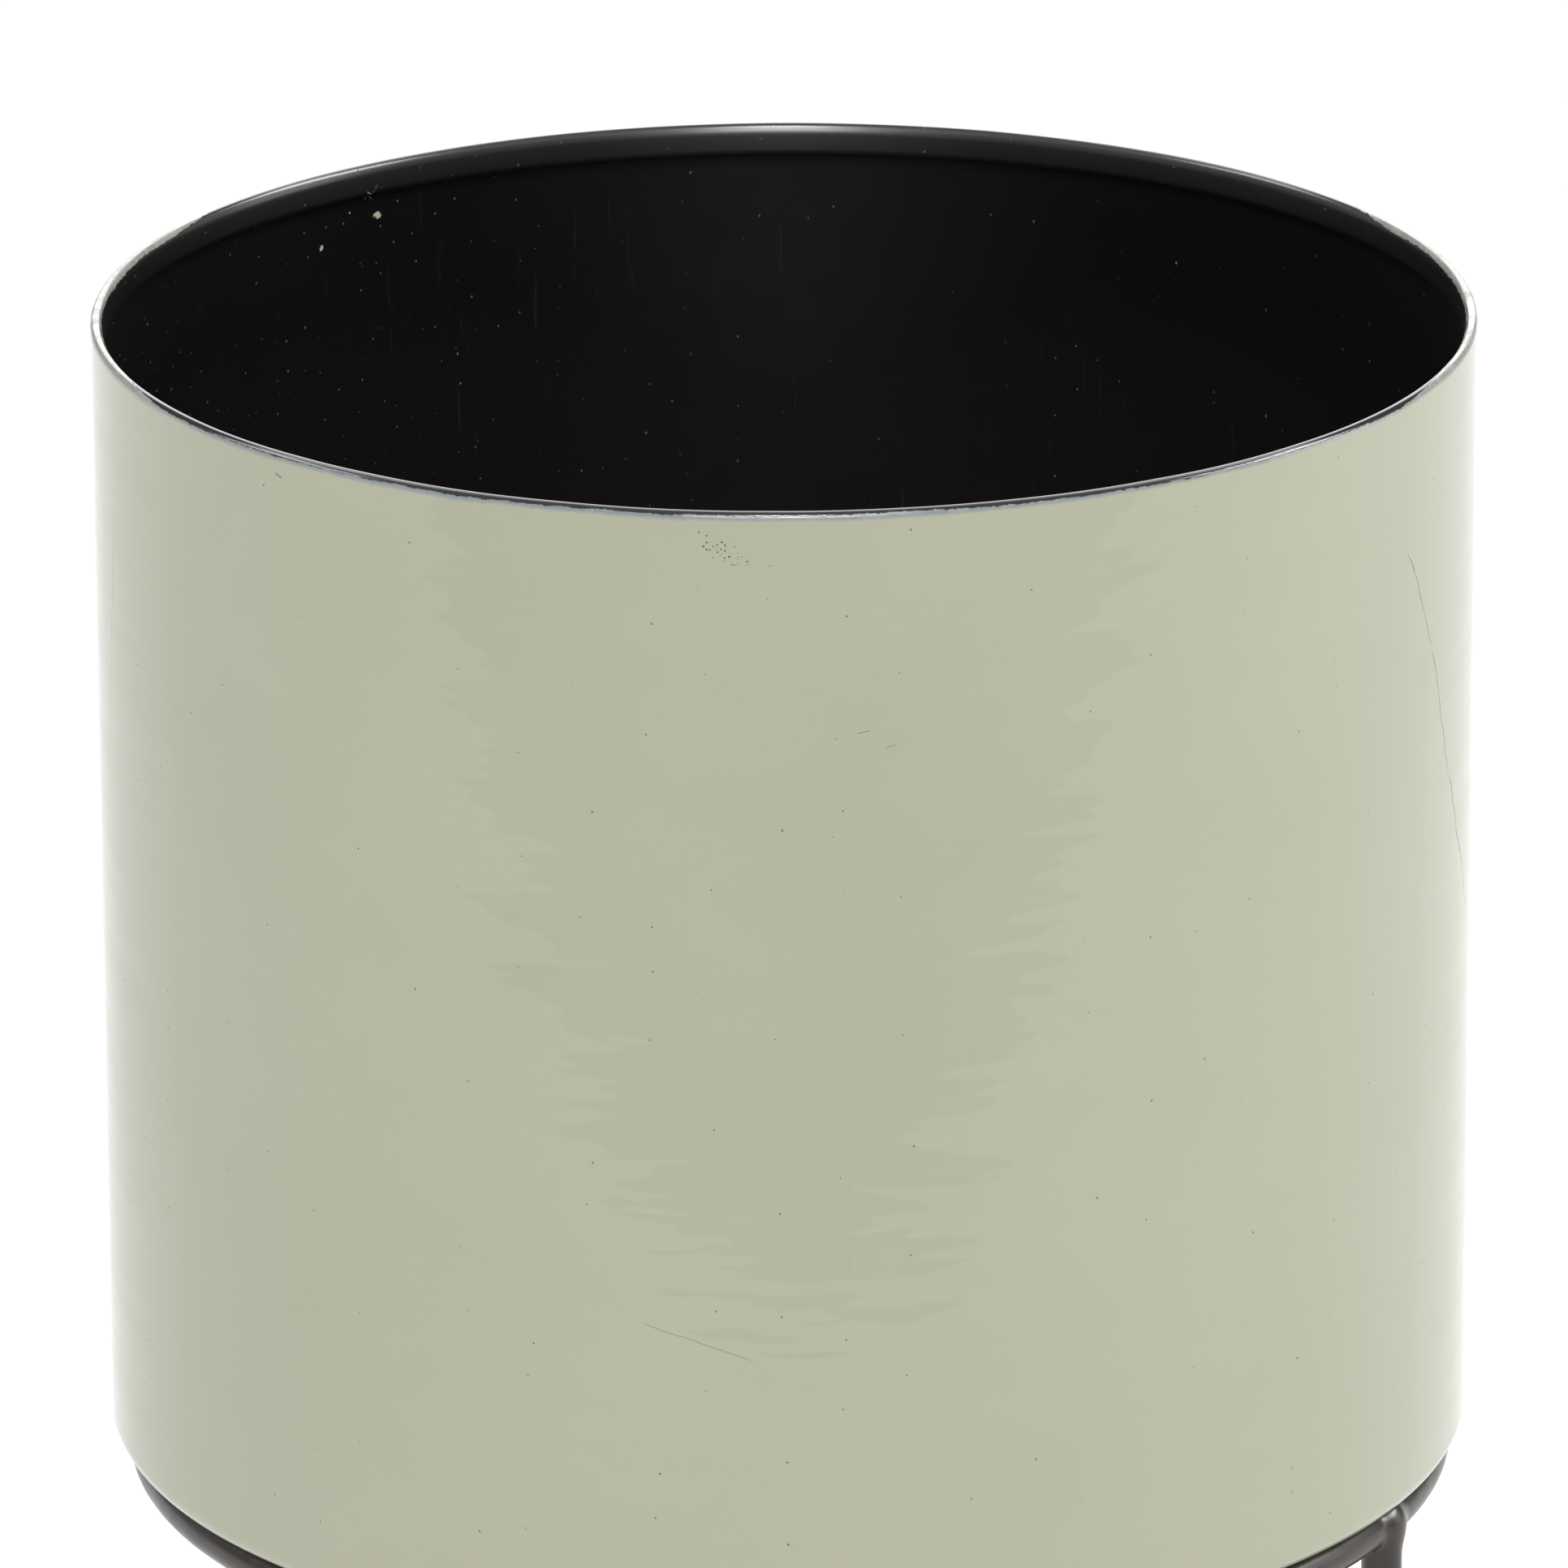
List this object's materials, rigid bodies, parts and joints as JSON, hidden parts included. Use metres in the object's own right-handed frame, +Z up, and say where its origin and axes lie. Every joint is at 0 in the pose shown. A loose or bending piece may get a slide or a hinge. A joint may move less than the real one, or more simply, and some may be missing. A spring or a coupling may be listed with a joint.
{
  "type": "plant pot on rod stand",
  "caption": "Round enamelled steel pot, pale green outside and black inside, resting on a black round-rod stand with straight legs.",
  "frame": {"origin": "on the floor under the pot's axis", "axes": "+Z up along the pot's axis, -Y to the front, first leg to the front right"},
  "size_m": [0.27, 0.27, 0.4033],
  "materials": {
    "enamel": "gloss",
    "stand_paint": "satin",
    "foot_rubber": "matte"
  },
  "bodies": {
    "stand": {"stand_ring": "stand_paint", "ring_seam_weld": "stand_paint", "leg_1": "stand_paint", "leg_2": "stand_paint", "leg_3": "stand_paint", "leg_weld_1": "stand_paint", "leg_weld_2": "stand_paint", "leg_weld_3": "stand_paint", "foot_cap_1": "foot_rubber", "foot_cap_2": "foot_rubber", "foot_cap_3": "foot_rubber"},
    "pot": {"pot_shell": "enamel"}
  },
  "joints": [
    {"name": "pot_lift", "type": "slide", "parent": "stand", "child": "pot", "axis": [0, 0, 1], "range_m": [0, 0.1]}
  ]
}
